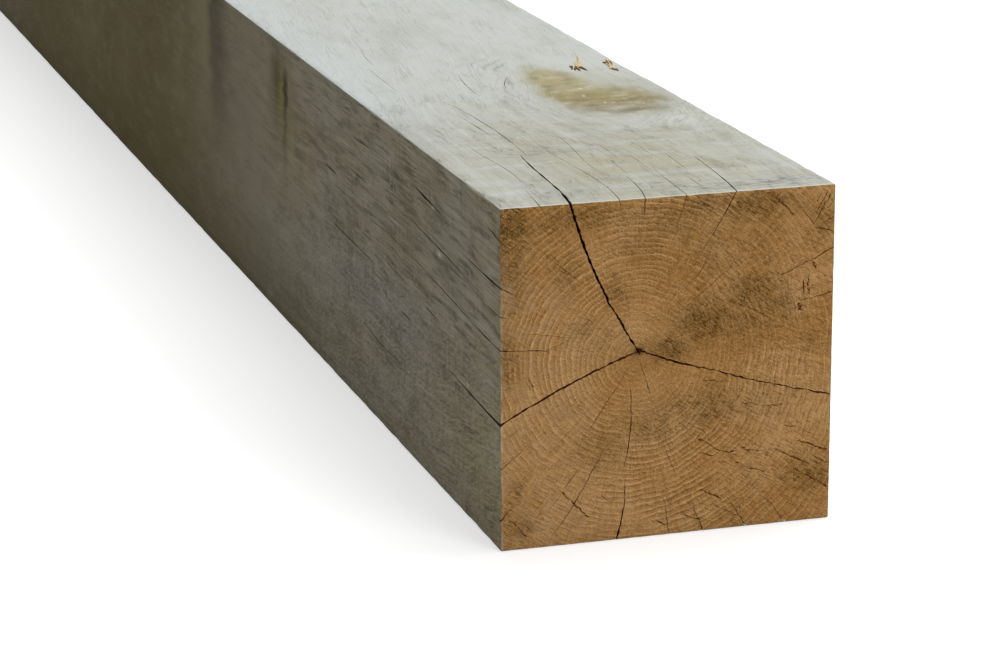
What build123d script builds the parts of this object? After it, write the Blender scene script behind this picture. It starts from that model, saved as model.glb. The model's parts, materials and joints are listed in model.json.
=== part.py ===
"""Oak beam: one length of boxed-heart oak, sawn square, with the star of drying checks at its sawn end.

Millimetres and degrees. X runs across the beam, Y along it and Z up. The origin is the middle of the
underside, and the sawn end that shows the star faces -Y. Places in the section are measured from its centre,
and bearings go anticlockwise round the pith from +X, looking at that end.
"""

import os
from typing import NamedTuple

from build123d import *

# Stock
BEAM_WIDTH = 200.0
BEAM_HEIGHT = 200.0
BEAM_LENGTH = 2500.0
ARRIS_RADIUS = 1.2  # the sawn edges, worn by handling

# Heart of the tree
PITH_RIGHT = -18.0
PITH_UP = 11.5
PITH = Vector(PITH_RIGHT, PITH_UP)

# How far a cut stands out of the wood, so that it opens cleanly through the surface
CUT_OVERRUN = 2.0


class HeartCheck(NamedTuple):
    """A drying check from the pith to one side, open in the end grain and closing along the beam."""

    bearing: float  # of its mouth in that side
    bow: float  # how far its line bends anticlockwise of straight
    pith_gap: float  # opening at the pith
    mouth_gap: float  # opening at the side
    run: float  # length along the beam
    drift: float  # how far its mouth wanders clockwise round the beam over that run


class EdgeCheck(NamedTuple):
    """A shorter check that opens in one side and dies out in the end grain, on its way to the pith."""

    bearing: float
    depth: float  # from its mouth to its tip
    mouth_gap: float
    run: float
    drift: float


HEART_CHECKS = (
    HeartCheck(114.6, 4.0, 0.9, 1.8, 140.0, 10.5),
    HeartCheck(204.0, -2.0, 0.6, 1.2, 110.0, 4.0),
    HeartCheck(343.0, -2.0, 0.7, 0.9, 110.0, 4.0),
)

EDGE_CHECKS = (
    # right side
    EdgeCheck(12.0, 21.0, 0.5, 40.0, 2.0),
    EdgeCheck(23.2, 30.0, 0.5, 40.0, 2.0),
    EdgeCheck(30.3, 23.0, 0.6, 30.0, 1.5),
    # top
    EdgeCheck(57.0, 37.0, 0.7, 95.0, 9.0),
    EdgeCheck(88.0, 15.0, 0.5, 55.0, 8.0),
    # left side
    EdgeCheck(139.7, 15.0, 0.5, 26.0, 2.0),
    EdgeCheck(152.6, 14.0, 0.8, 70.0, 3.0),
    EdgeCheck(175.1, 27.0, 0.8, 200.0, 9.0),
    EdgeCheck(217.1, 20.0, 0.5, 22.0, 1.0),
    EdgeCheck(228.3, 13.0, 0.6, 22.0, 0.5),
    # underside
    EdgeCheck(263.4, 41.0, 1.0, 60.0, 2.0),
    EdgeCheck(279.9, 32.0, 0.7, 45.0, 1.0),
    EdgeCheck(289.5, 32.0, 0.7, 50.0, 1.5),
    EdgeCheck(301.0, 27.0, 0.8, 40.0, 1.0),
    EdgeCheck(309.2, 31.0, 0.7, 40.0, 1.5),
)

HEART_LINE_STEPS = 8  # straight pieces in the bowed line of a heart check


class Side(NamedTuple):
    """One of the four sawn sides, as a line of the section."""

    outward: Vector
    distance: float  # from the centre of the section

    def reach(self, ray):
        """How far a ray from the pith goes before it meets this side."""
        return (self.distance - PITH.dot(self.outward)) / ray.dot(self.outward)

    def clockwise(self):
        return Vector(self.outward.Y, -self.outward.X)


SIDES = (
    Side(Vector(1, 0), BEAM_WIDTH / 2),
    Side(Vector(0, 1), BEAM_HEIGHT / 2),
    Side(Vector(-1, 0), BEAM_WIDTH / 2),
    Side(Vector(0, -1), BEAM_HEIGHT / 2),
)


def ray_at(bearing):
    return Vector(1, 0).rotate(Axis.Z, bearing)


def side_met_by(ray):
    ahead = [side for side in SIDES if ray.dot(side.outward) > 0]
    return min(ahead, key=lambda side: side.reach(ray))


def across(direction):
    """The way anticlockwise of a direction, square to it."""
    return Vector(-direction.Y, direction.X).normalized()


def bowed_line(start, end, bow):
    """Points from start to end, bent anticlockwise of the straight line as a parabola."""
    shares = [step / HEART_LINE_STEPS for step in range(HEART_LINE_STEPS + 1)]
    straight = end - start
    return [start + straight * s + across(straight) * (4 * bow * s * (1 - s)) for s in shares]


def widening_outline(line, first_gap, last_gap):
    """The outline of an opening along a line, widening evenly from its first gap to its last."""
    last = len(line) - 1
    left_bank = []
    right_bank = []
    for step, point in enumerate(line):
        ahead = line[min(step + 1, last)] - line[max(step - 1, 0)]
        half_gap = (first_gap + (last_gap - first_gap) * step / last) / 2
        left_bank.append(point + across(ahead) * half_gap)
        right_bank.append(point - across(ahead) * half_gap)
    return left_bank + right_bank[::-1]


def in_beam(point, from_sawn_end):
    """Places a point of the section in the beam, that far along it from the sawn end."""
    return Vector(point.X, from_sawn_end - BEAM_LENGTH / 2, BEAM_HEIGHT / 2 + point.Y)


def check_cutter(outline, runs_out_at, run):
    """A pyramid through the opening in the end grain, whose peak is where the check runs out along the beam.

    Its base stands in front of the sawn end, so the base is that much larger than the opening.
    """
    spread = (run + CUT_OVERRUN) / run
    base_corners = [runs_out_at + (point - runs_out_at) * spread for point in outline]
    base = Wire.make_polygon([in_beam(corner, -CUT_OVERRUN) for corner in base_corners], close=True)
    peak = Vertex(in_beam(runs_out_at, run))
    return Solid.make_loft([base, peak], ruled=True)


def heart_check(check):
    ray = ray_at(check.bearing)
    side = side_met_by(ray)
    mouth = PITH + ray * (side.reach(ray) + CUT_OVERRUN)
    outline = widening_outline(bowed_line(PITH, mouth, check.bow), check.pith_gap, check.mouth_gap)
    return check_cutter(outline, mouth + side.clockwise() * check.drift, check.run)


def edge_check(check):
    ray = ray_at(check.bearing)
    side = side_met_by(ray)
    tip = PITH + ray * (side.reach(ray) - check.depth)
    mouth = PITH + ray * (side.reach(ray) + CUT_OVERRUN)
    half_mouth = across(ray) * (check.mouth_gap / 2)
    outline = [tip, mouth + half_mouth, mouth - half_mouth]
    return check_cutter(outline, mouth + side.clockwise() * check.drift, check.run)


def sawn_stock():
    """The squared beam before it dried, with its edges worn."""
    stock = Box(BEAM_WIDTH, BEAM_LENGTH, BEAM_HEIGHT, align=(Align.CENTER, Align.CENTER, Align.MIN))
    return fillet(stock.edges(), ARRIS_RADIUS)


def oak_beam():
    beam = sawn_stock()
    for check in HEART_CHECKS:
        beam -= heart_check(check)
    for check in EDGE_CHECKS:
        beam -= edge_check(check)
    return beam


os.makedirs("parts", exist_ok=True)
export_step(oak_beam(), "parts/oak_beam.step")
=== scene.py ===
import json
import math
from typing import NamedTuple

import bpy
import numpy as np
from mathutils import Euler, Matrix, Vector, noise

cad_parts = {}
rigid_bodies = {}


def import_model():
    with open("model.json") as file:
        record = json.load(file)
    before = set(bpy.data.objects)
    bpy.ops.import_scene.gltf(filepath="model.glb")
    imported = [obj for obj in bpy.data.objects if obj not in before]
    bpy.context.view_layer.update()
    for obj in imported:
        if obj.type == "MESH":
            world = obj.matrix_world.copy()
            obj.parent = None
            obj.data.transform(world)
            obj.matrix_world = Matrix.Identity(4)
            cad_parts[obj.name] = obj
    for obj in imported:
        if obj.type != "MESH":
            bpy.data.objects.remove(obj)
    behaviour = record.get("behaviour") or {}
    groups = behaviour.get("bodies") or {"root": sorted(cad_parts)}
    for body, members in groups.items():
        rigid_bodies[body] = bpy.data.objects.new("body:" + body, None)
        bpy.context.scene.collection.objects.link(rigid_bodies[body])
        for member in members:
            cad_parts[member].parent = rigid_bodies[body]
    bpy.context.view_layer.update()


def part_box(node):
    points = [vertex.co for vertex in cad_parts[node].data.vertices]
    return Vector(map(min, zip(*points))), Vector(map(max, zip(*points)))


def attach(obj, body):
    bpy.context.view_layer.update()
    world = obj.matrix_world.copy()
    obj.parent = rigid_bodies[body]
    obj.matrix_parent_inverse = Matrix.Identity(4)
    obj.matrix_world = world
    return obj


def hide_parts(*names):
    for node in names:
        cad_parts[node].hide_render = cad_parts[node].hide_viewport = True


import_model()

# The stock
# One length of oak, sawn square with the heart of the tree inside it and left out in the weather. It is solid
# wood, so its mesh is one closed skin: four long faces and two ends, with the edges between them worn round.

MM = 0.001
lowest, highest = (np.array(corner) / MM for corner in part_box("oak_beam"))
WIDTH, LENGTH, HEIGHT = highest - lowest
# Places in the beam are in millimetres: x from its middle, y from the sawn end and z from its underside.
BEAM_START = np.array([0.0, lowest[1], lowest[2]])

ARRIS_RADIUS = 1.2
COLUMN_SPACING = 3.3  # of the points of the skin, across the beam
FIRST_ROW_SPACING = 3.0  # along it, at the sawn end
LAST_ROW_SPACING = 30.0
ROWS = 190

GRAIN_RELIEF = 0.3
SAW_WAVE_RELIEF = 0.15
ARRIS_WEAR = 0.8

TOP_KNOT = np.array([54.0, 262.0, HEIGHT])
SIDE_KNOT = np.array([-WIDTH / 2, 512.0, 166.0])
SPLINTER_BED = np.array([80.0, 380.0, HEIGHT])
HOLLOWS = (  # the middle, the half sizes along x, y and z, and the depth of each
    (TOP_KNOT, (26, 42, 10), 0.9),
    (SIDE_KNOT, (10, 18, 20), 0.8),
    (SPLINTER_BED, (30, 45, 10), 1.2),
)

# Its finishes, in the order of a block's sides, and then those of what is cut into it
FINISHES = (
    "left_face", "right_face", "sawn_end", "far_end", "underside", "top_face", "check_walls", "torn_grain")


def block_sides(shape):
    """Which points of a block are on its skin, and the quads of its six sides, by those points' numbers.

    The sides are at low x, high x, low y, high y, low z and high z, and they face outwards.
    """
    skin = np.ones(shape, bool)
    skin[1:-1, 1:-1, 1:-1] = False
    number = np.full(shape, -1)
    number[skin] = np.arange(skin.sum())

    def quads(side):
        return np.stack([side[:-1, :-1], side[1:, :-1], side[1:, 1:], side[:-1, 1:]], -1).reshape(-1, 4)

    sides = (
        quads(number[0])[:, ::-1],
        quads(number[-1]),
        quads(number[:, 0]),
        quads(number[:, -1])[:, ::-1],
        quads(number[:, :, 0])[:, ::-1],
        quads(number[:, :, -1]),
    )
    return skin, sides


def swell(points, *sizes):
    """Smooth noise from -1 to 1 at each point, with swells of those sizes along x, y and z."""
    return np.array([noise.noise(Vector(point)) for point in points / sizes])


def hollow(points, centre, *sizes):
    """1 at the middle of a shallow round hollow, falling to 0 outside it."""
    return np.exp(-np.sum(((points - centre) / sizes) ** 2, axis=1))


def edge_to_edge(length, inner_places):
    """Places from edge to edge of a side: both edges, and places between where their rounding ends."""
    start = ARRIS_RADIUS
    end = length - ARRIS_RADIUS
    spread = (inner_places - inner_places[0]) / (inner_places[-1] - inner_places[0])
    return np.concatenate(([0], start + (end - start) * spread, [length]))


def mesh_from(name, points, faces):
    mesh = bpy.data.meshes.new(name)
    mesh.from_pydata(((points + BEAM_START) * MM).tolist(), [], faces.tolist())
    return mesh


def put_in_scene(name, data):
    placed = bpy.data.objects.new(name, data)
    bpy.context.scene.collection.objects.link(placed)
    return placed


columns = np.arange(round(WIDTH / COLUMN_SPACING))
rows = np.cumsum(np.geomspace(FIRST_ROW_SPACING, LAST_ROW_SPACING, ROWS))
lattice = np.stack(np.meshgrid(
    edge_to_edge(WIDTH, columns) - WIDTH / 2,
    edge_to_edge(LENGTH, rows),
    edge_to_edge(HEIGHT, columns),
    indexing="ij",
), -1)
skin, sides = block_sides(lattice.shape[:3])
sharp_skin = lattice[skin]
core = np.clip(
    sharp_skin,
    (ARRIS_RADIUS - WIDTH / 2, ARRIS_RADIUS, ARRIS_RADIUS),
    (WIDTH / 2 - ARRIS_RADIUS, LENGTH - ARRIS_RADIUS, HEIGHT - ARRIS_RADIUS),
)
outward = sharp_skin - core
on_arris = np.count_nonzero(outward, axis=1) > 1
outward /= np.linalg.norm(outward, axis=1, keepdims=True)
relief = (
    GRAIN_RELIEF * (1 + swell(sharp_skin, 6, 220, 6)) / 2
    + SAW_WAVE_RELIEF * (1 + swell(sharp_skin, 90, 13, 90)) / 2
    + ARRIS_WEAR * on_arris * np.maximum(0, swell(sharp_skin, 8, 15, 8))
)
for middle, half_sizes, depth in HOLLOWS:
    relief += depth * hollow(sharp_skin, middle, *half_sizes)
worn_skin = core + outward * (ARRIS_RADIUS - relief)[:, None]

beam_mesh = mesh_from("oak_beam_wood", worn_skin, np.concatenate(sides))
for finish_name in FINISHES:
    beam_mesh.materials.append(bpy.data.materials.new(finish_name))
side_numbers = np.repeat(np.arange(len(sides)), [len(side) for side in sides])
beam_mesh.polygons.foreach_set("material_index", side_numbers.astype(np.int32))
beam = put_in_scene("oak_beam_wood", beam_mesh)

# The drying checks
# Splits that opened as the wood dried, along its rays. Three run from the pith to the top and to both sides,
# and shorter ones open at the faces. Each is a thin ragged sheet of wood taken out of the skin, widest at its
# mouth.

PITH = np.array([-18.0, 0.0, 111.5])
PAST_PITH = 0.8  # how far a check that reaches the pith runs on
HAIRLINE = 0.3

OVERRUN = 2.0  # how far a cut stands out of the wood
FACE_STEP = 5.0  # between the points of a cut, along a mouth in a long face
END_STEP = 1.5  # the same in the sawn end
DEPTH_STEP = 1.1  # the same on the way in
FEWEST_POINTS = 4
SHALLOWEST = 0.4
NARROWEST = 0.02  # to each side of the middle of a cut


class Check(NamedTuple):
    """A split, told by the line of its mouth on one face."""

    face: str
    mouth: tuple  # places along it, as across and along a long face, or across and up the sawn end
    depth: float  # where it is deepest: towards the pith, or along the beam for one in the sawn end
    gap: float = HAIRLINE  # where it is widest
    bow: float = 0.0  # how far it bends on its way in
    ragged: float = 0.5  # how far its walls wander, more towards its bottom
    gap_inside: float = 0.0  # share of its gap that is left at its bottom


def on_face(face, across, along):
    """The place in the beam of a place on one of its faces."""
    return {
        "top": (across, along, HEIGHT),
        "underside": (across, along, 0),
        "left": (-WIDTH / 2, along, across),
        "right": (WIDTH / 2, along, across),
        "sawn_end": (across, 0, along),
    }[face]


def evenly_along(points, spacing):
    """Points at even steps along a smooth line by the given ones, and each one's share of the way."""
    lengths = np.concatenate(([0], np.cumsum(np.linalg.norm(np.diff(points, axis=0), axis=1))))
    shares = np.linspace(0, 1, max(FEWEST_POINTS, math.ceil(lengths[-1] / spacing)))
    degree = min(3, len(points) - 1)
    curves = [np.polyfit(lengths / lengths[-1], axis, degree) for axis in points.T]
    return np.stack([np.polyval(curve, shares) for curve in curves], -1), shares


def unit(vectors):
    return vectors / np.linalg.norm(vectors, axis=-1, keepdims=True)


def sheet_of_wood(check):
    """The wood that a check takes away: a closed block, two points thick, from its mouth to its bottom."""
    mouth = np.array([on_face(check.face, *place) for place in check.mouth], float)
    in_sawn_end = check.face == "sawn_end"
    opens_in_end = not in_sawn_end and mouth[0, 1] == 0
    line, share = evenly_along(mouth, END_STEP if in_sawn_end else FACE_STEP)
    if opens_in_end:
        # widest and deepest at the sawn end, and the cut stands out of that end
        openness = (1 - share) ** 0.4
        depths = check.depth * (1 - share) ** 0.8
        line = np.concatenate((line[:1] - (0, OVERRUN, 0), line))
        openness = np.concatenate((openness[:1], openness))
        depths = np.concatenate((depths[:1], depths))
    else:
        # widest and deepest halfway
        openness = (4 * share * (1 - share)) ** 0.5
        depths = check.depth * openness
    depths = np.maximum(depths, SHALLOWEST)

    if in_sawn_end:
        inward = np.tile((0.0, 1.0, 0.0), (len(line), 1))
    else:
        inward = unit((PITH - line) * (1, 0, 1))
    sideways = unit(np.cross(np.gradient(line, axis=0), inward))[:, None]

    steps = np.linspace(0, 1, max(FEWEST_POINTS, math.ceil(check.depth / DEPTH_STEP)))
    deep = -OVERRUN + (OVERRUN + depths[:, None]) * steps
    way_in = np.clip(deep / depths[:, None], 0, 1)[..., None]
    bend = check.bow * (depths / check.depth)[:, None, None] * 4 * way_in * (1 - way_in)
    middle = line[:, None] + inward[:, None] * deep[..., None] + sideways * bend
    # the noises are read at places apart, so that they differ
    flat = middle.reshape(-1, 3)
    wander = (swell(flat, 9, 60, 9) + swell(flat + 50, 1.7, 14, 1.7)).reshape(way_in.shape)
    ragged = check.ragged * (1 if in_sawn_end else 0.4 + 0.6 * way_in)
    unevenness = np.maximum(0.2, 1 + 0.9 * swell(flat + 90, 2.3, 14, 2.3))
    closing = check.gap_inside + (1 - check.gap_inside) * (1 - way_in)
    half_gap = check.gap / 2 * openness[:, None, None] * closing * unevenness.reshape(way_in.shape)
    half_gap = np.maximum(half_gap, NARROWEST)
    middle = middle + sideways * ragged * wander
    block = np.stack((middle - sideways * half_gap, middle + sideways * half_gap))
    return block.reshape(-1, 3), np.concatenate(block_sides(block.shape[:3])[1])


def to_pith(face, across):
    """How far it is from a place on a long face to just past the pith."""
    return np.linalg.norm((PITH - on_face(face, across, 0)) * (1, 0, 1)) + PAST_PITH


# Those that run in to the pith
HEART_CHECKS = (
    Check("top",
          ((-59, 0), (-57, 12), (-55, 30), (-54.5, 45), (-53.5, 60), (-52, 85), (-50.5, 105), (-48, 128)),
          to_pith("top", -59), 1.5, 4.0, 0.6, 0.7),
    Check("left", ((75, 0), (75.6, 35), (76.9, 65), (79, 105)), to_pith("left", 75), 1.2, -2.0, 0.6, 0.8),
    Check("right", ((75.5, 0), (74, 60), (71.5, 110)), to_pith("right", 75.5), 0.65, -2.0, 1.0, 1.5),
)


def checks_in(face, *rows):
    """Checks with their mouths on one face; a row holds what a Check does."""
    return tuple(Check(face, *row) for row in rows)


# Those that open at the edges of the sawn end
END_CHECKS = checks_in(
    "right",
    (((137, 0), (138.5, 40)), 21, 0.5, 0, 1.4, 0.6),
    (((163, 0), (165, 40)), 36, 0.6, 0, 1.2, 0.7),
    (((181.5, 0), (183, 30)), 14, 0.6, 0, 1.2),
) + checks_in(
    "top",
    (((39.5, 0), (45, 50), (47, 75), (49, 97)), 52, 0.7, -1.5),
    (((-15, 0), (-9, 32), (-7, 57)), 18, 0.5),
    (((-77, 0), (-72, 46)), 6, 0.35),
    (((-30, 0), (-26, 45), (-28, 90), (-29, 120), (-27, 178)), 5, 0.4),
    (((10, 0), (13, 55)), 24, 0.4),
) + checks_in(
    "left",
    (((181.6, 0), (185, 27)), 15, 0.6),
    (((154.7, 0), (155.7, 45), (157.2, 70)), 14, 0.9),
    (((138, 0), (138.4, 32)), 6, 0.5),
    (((118.7, 0), (119, 40), (121.5, 70), (125.5, 115), (128.5, 190), (127.8, 300)), 27, 0.65),
    (((48.7, 0), (48.9, 6)), 22, 0.5),
    (((18.2, 0), (18.3, 6)), 13, 0.7),
) + checks_in(
    "underside",
    (((-31.3, 0), (-33, 60)), 42, 1.3, 2.5),
    (((1.4, 0), (0.5, 45)), 32, 0.5, 0, 1.2),
    (((21.6, 0), (20, 50)), 32, 0.55, 0, 1.4),
    (((48.5, 0), (47.5, 40)), 27, 0.6, 0, 1.8),
    (((73.3, 0), (72, 40)), 31, 0.55, 0, 1.8),
)

# Those that open in a long face alone
FACE_CHECKS = checks_in(
    "top",
    (((-45, 124), (-44, 150), (-42, 185), (-43, 220), (-47, 280), (-49, 300)), 6, 0.45),
    (((-49, 187), (-52, 250)), 4, 0.3),
    (((-69.5, 60), (-67.5, 85), (-69, 115), (-70.5, 140), (-69.5, 165)), 4, 0.3),
    (((-17, 60), (-17.5, 100), (-14, 130), (-13.5, 190)), 4, 0.3),
    (((12, 60), (13, 112)), 4, 0.25),
    (((25, 10), (26, 46)), 4, 0.25),
    (((32, 60), (35, 107)), 4, 0.25),
    (((-4, 60), (-2, 102)), 4, 0.25),
    (((4, 100), (5.5, 142)), 4, 0.25),
    (((25.5, 100), (26.5, 135)), 4, 0.25),
    (((-68, 330), (-67, 375), (-66, 410)), 4, 0.3),
    (((-22, 300), (-19, 345), (-15, 372)), 4, 0.4),
    (((2, 318), (7, 338), (13, 352)), 4, 0.4),
    (((-60, 415), (-57, 455), (-53, 480)), 4, 0.25),
) + checks_in(
    "left",
    (((169.9, 115), (172, 145), (173.9, 178)), 7, 0.9, 0, 0.9),
    (((145, 72), (147.1, 110), (152.1, 188)), 7, 0.7, 0, 0.9),
    (((103.4, 125), (104.5, 157)), 5, 0.7),
    (((175, 278), (174.5, 322)), 5, 0.7),
    (((108.5, 195), (110.5, 242)), 5, 0.7),
    (((102.4, 275), (103.4, 330), (104.5, 392)), 6, 0.8),
    (((87.2, 185), (87.7, 212)), 4, 0.6),
    (((95.3, 250), (96.3, 282)), 4, 0.6),
    (((52.5, 225), (54.5, 285), (57, 305)), 4, 0.6),
    (((151, 285), (151.5, 345)), 4, 0.6),
    (((139.5, 365), (140.5, 400)), 4, 0.8),
    (((94, 105), (92.5, 120)), 3, 0.6),
)

# Those that open in the end grain alone, and go in only a few millimetres
END_HAIRLINES = checks_in(
    "sawn_end",
    (((-22.7, 91.3), (-22.4, 78.1), (-23.3, 59.3), (-25.3, 49.7), (-27.3, 41.6)), 2.5, 0.7),
    (((-18, 106.5), (-14.7, 97.4), (-10, 82.1)), 1.5, 0.45),
    (((-22, 104.5), (-38, 81), (-54, 58.8)), 1.2, 0.4),
    (((-37.3, 56.8), (-44.7, 44.6), (-54.7, 26.9), (-64, 13.2), (-71.3, 4)), 2.0, 0.5),
    (((25, 167), (19, 156), (11, 146)), 1.2, 0.4),
    (((2, 128), (24, 146), (46, 163)), 1.2),
    (((-80, 178), (-62, 162), (-46, 149)), 1.2, 0.4),
    (((-84, 127), (-55, 122)), 1.2),
    (((-73, 116), (-58, 122)), 1.2),
    (((-9, 68), (0, 48), (6, 33)), 1.2),
    (((-72.3, 22.3), (-64.1, 30.4)), 1.2),
    (((-63.3, 33.3), (-53.4, 45)), 1.2, 0.4),
    (((-95.2, 98.9), (-87.8, 99.1)), 1.2),
    (((-84.6, 118), (-71.5, 115.7)), 2.0, 0.5),
    (((86.5, 175.6), (93, 174), (99, 172.4)), 2.0, 0.8),
    (((74.5, 192), (81, 184.5), (88, 176)), 1.2, 0.35),
    # the pith, torn out where the heart checks meet
    (((-20.2, 110.0), (-15.4, 112.8)), 5.0, 2.4, 0, 0.3),
    (((-17.2, 108.6), (-18.8, 114.2)), 5.0, 2.0, 0, 0.3),
    (((-21.4, 112.6), (-14.0, 109.8)), 2.5, 0.9, 0, 0.5),
)

# Strokes where the saw tore the end grain: how wide each is, and places along it
SAW_STROKES = (
    (0.8, (14.3, 64), (20, 61.4)),
    (1.3, (17.7, 56.4), (22.2, 54.4), (28.3, 50.2), (39.8, 46.3)),
    (0.8, (19.5, 48.1), (26.8, 45.4)),
    (0.8, (30.2, 41.5), (35.9, 40.1)),
    (0.7, (43.8, 48.8), (55.2, 45.3)),
    (0.9, (40.7, 39.7), (53.1, 34.9), (58.8, 32.3)),
    (1.0, (64.2, 45.7), (74.1, 41.1), (83.3, 36.2)),
    (1.5, (78, 49.3), (87, 46.4), (97, 42.3)),
    (0.9, (89.7, 38.8), (98, 34.6)),
    (1.0, (81, 29.4), (90.2, 24.9), (97.5, 20)),
    (1.4, (18.4, 25.9), (24.9, 22.8), (31.5, 19)),
    (0.9, (28.3, 15.2), (41.5, 8.2)),
    (1.1, (8.9, 11.7), (19.6, 7)),
    (0.8, (-8, 9.7), (-1.5, 6.6)),
    (0.7, (44.7, 75), (54.5, 73.3)),
    (0.7, (58.6, 72.9), (69.2, 71.6)),
    (0.7, (70.3, 59.7), (77.7, 57.5)),
    (0.8, (20.2, 90.8), (33.1, 88.8)),
    (1.2, (57.7, 198), (63.9, 194.1), (70.2, 188.4), (74.1, 184.4)),
    (0.8, (66.9, 197.6), (63.9, 194.1)),
    (0.9, (97.4, 195.4), (94.2, 189.6), (91.8, 185.2), (88.7, 180.2)),
    (0.8, (94.6, 196.2), (92.3, 191.6), (89.6, 186.4)),
    (0.8, (98.2, 190.8), (96, 186.5)),
    (0.7, (91, 195.4), (88.4, 190.6)),
    (1.3, (86.5, 155.7), (88.9, 151)),
    (2.0, (83.7, 146.9), (83.9, 138.6)),
    (1.8, (80.7, 144.9), (81.6, 138)),
    (2.6, (80.9, 141.8), (81.2, 138.4)),
    (1.4, (85, 140.8), (84.4, 136.3)),
    (3.0, (78.4, 132), (78.5, 127.8)),
    (1.0, (75.7, 132.4), (75.8, 128.6)),
    (1.3, (80.3, 130.5), (79.3, 127.6)),
    (0.9, (41.1, 134.5), (51.2, 129.5), (59, 125.5)),
    (1.2, (44.1, 139.5), (45.7, 135)),
    (0.7, (87.5, 122.3), (95.3, 119.4)),
    (0.7, (54.2, 162), (61.1, 160)),
    (1.2, (-64.1, 32.9), (-56.5, 24.6), (-48.1, 16.6)),
    (0.8, (-40.7, 27.8), (-33.9, 22.9)),
    (1.1, (-92.2, 17.4), (-85.5, 8.3)),
    (0.8, (-83.9, 14.9), (-81.4, 10.5)),
    (0.7, (-82.9, 101.2), (-80.3, 92.7)),
    (0.6, (-84.5, 99.7), (-82.8, 94.5)),
)
STROKE_DEPTH = 0.8
TEAR_LENGTH = 2.6  # a stroke is many short tears
TEAR_SLIP = 0.3  # to any side, by chance
TEAR_LAP = 0.5  # share of its length by which a tear laps the next
chance = np.random.default_rng(7)


def torn_pieces(gap, *line):
    """The short ragged cuts, each lapping the next, that make up a stroke of the saw."""
    points, _ = evenly_along(np.array(line), TEAR_LENGTH)
    for start, end in zip(points[:-1], points[1:]):
        start_slip, end_slip = chance.normal(0, TEAR_SLIP, (2, 2))
        mouth = (start + start_slip, end + TEAR_LAP * (end - start) + end_slip)
        yield Check("sawn_end", mouth, STROKE_DEPTH, gap * chance.uniform(0.5, 1.6))


SAW_TEARS = tuple(piece for stroke in SAW_STROKES for piece in torn_pieces(*stroke))

check_sheets = bpy.data.collections.new("check_sheets")


def cut(checks, wall_finish):
    for check in checks:
        sheet_mesh = mesh_from("check_sheet", *sheet_of_wood(check))
        sheet_mesh.materials.append(bpy.data.materials[wall_finish])
        check_sheets.objects.link(bpy.data.objects.new("check_sheet", sheet_mesh))


cut(HEART_CHECKS + END_CHECKS + FACE_CHECKS + END_HAIRLINES, "check_walls")
cut(SAW_TEARS, "torn_grain")
splitting = beam.modifiers.new("drying", "BOOLEAN")
splitting.operation = "DIFFERENCE"
splitting.operand_type = "COLLECTION"
splitting.collection = check_sheets
splitting.solver = "MANIFOLD"
splitting.material_mode = "TRANSFER"
split_mesh = bpy.data.meshes.new_from_object(beam.evaluated_get(bpy.context.evaluated_depsgraph_get()))
beam.modifiers.clear()
beam.data = split_mesh
bpy.data.meshes.remove(beam_mesh)
split_mesh.name = "oak_beam_wood"
for sheet in list(check_sheets.objects):
    bpy.data.meshes.remove(sheet.data)
bpy.data.collections.remove(check_sheets)


def values_of(items, name, kind=np.int32, each=1):
    """One value or a few for each point, corner or face of a mesh."""
    values = np.empty(len(items) * each, kind)
    items.foreach_get(name, values)
    return values


# The finishes lie on one flat map, with more of it for the sawn end and for what is near that end.
split_points = values_of(split_mesh.vertices, "co", float, 3).reshape(-1, 3)
corner_points = values_of(split_mesh.loops, "vertex_index")
face_finishes = values_of(split_mesh.polygons, "material_index")
face_corners = values_of(split_mesh.polygons, "loop_total")
corner_finishes = np.repeat(face_finishes, face_corners)
corner_places = split_points[corner_points] / MM - BEAM_START

across, along, up = ((corner_places + (WIDTH / 2, 0, 0)) / (WIDTH, LENGTH, HEIGHT)).T
along_room = ((along + 0.01) / 1.01) ** 0.6
from_pith = np.linalg.norm((corner_places - PITH) * (1, 0, 1), axis=1) / WIDTH
tear_spread = 40 * along  # the walls of tears stand square to the end, so their depth spreads them
FLAT_PLACES = {  # left, low, width and height on the map, and what runs along them
    "top_face": (0, 0, 1, 0.18, along_room, across),
    "left_face": (0, 0.18, 1, 0.15, along_room, up),
    "right_face": (0, 0.33, 1, 0.09, along_room, up),
    "underside": (0, 0.42, 1, 0.08, along_room, across),
    "sawn_end": (0, 0.5, 0.5, 0.5, across, up),
    "far_end": (0.5, 0.5, 0.25, 0.25, across, up),
    "torn_grain": (0.5, 0.75, 0.25, 0.25, (across + tear_spread) / 1.1, (up + tear_spread) / 1.1),
    "check_walls": (0.75, 0.5, 0.25, 0.5, along_room ** 1.6 * 3, from_pith),
}
FLAT_MARGIN = 0.004
flat_corners = np.zeros((len(corner_places), 2), np.float32)
for number, finish_name in enumerate(FINISHES):
    left, low, wide, high, rightward, upward = FLAT_PLACES[finish_name]
    here = corner_finishes == number
    flat_corners[here, 0] = left + FLAT_MARGIN + (wide - 2 * FLAT_MARGIN) * np.clip(rightward[here], 0, 1)
    flat_corners[here, 1] = low + FLAT_MARGIN + (high - 2 * FLAT_MARGIN) * np.clip(upward[here], 0, 1)
split_mesh.uv_layers.new(name="OFBake").data.foreach_set("uv", flat_corners.ravel())

SHARP_TURN = math.radians(40)  # edges that turn by more than this stay sharp
split_mesh.shade_smooth()
split_mesh.set_sharp_from_angle(angle=SHARP_TURN)
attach(beam, "root")
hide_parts("oak_beam")

# The sawn end
# End grain, cut square across the beam by a coarse saw and browned by the weather. Growth rings go round the
# pith and rays run out across them, the saw tore strokes into it, and damp left olive stains.

RING_CENTRE = (-20.0, 107.0)  # across and up, just under the pith
RING_SPACING = 3.3
SAW_TILT = math.radians(-31)  # of the strokes across the end


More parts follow.
